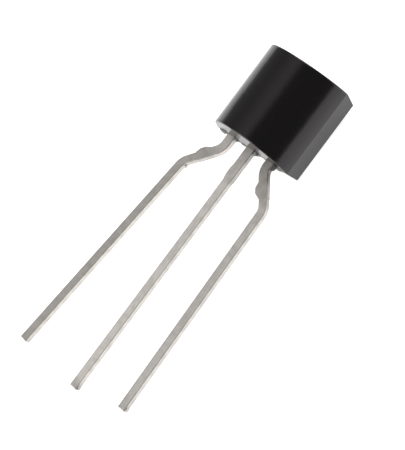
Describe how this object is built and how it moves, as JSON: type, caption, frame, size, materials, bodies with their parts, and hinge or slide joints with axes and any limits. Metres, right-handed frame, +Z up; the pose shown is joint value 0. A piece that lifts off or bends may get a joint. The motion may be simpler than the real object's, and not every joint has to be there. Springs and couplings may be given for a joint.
{
  "type": "transistor",
  "caption": "Small through-hole transistor in a half-round moulded package, lying on its flat, with three long formed leads.",
  "frame": {"origin": "centre of the bounding box, on the surface that the part lies on", "axes": "+Z up from the surface, with the round back upwards; +Y from the lead tips towards the body; X across the three leads"},
  "size_m": [0.007, 0.0188, 0.0037],
  "materials": {
    "resin": "satin moulded epoxy, black",
    "tinned_lead": "satin tin plate over stamped copper alloy",
    "silicon": "sawn and polished silicon",
    "solder": "dull solder layer",
    "gold_wire": "drawn gold wire"
  },
  "bodies": {
    "root": {"body": "resin", "lead_left": "tinned_lead", "lead_centre": "tinned_lead", "lead_right": "tinned_lead", "chip": "silicon", "chip_solder": "solder", "bond_wire_left": "gold_wire", "bond_wire_right": "gold_wire"}
  },
  "joints": []
}
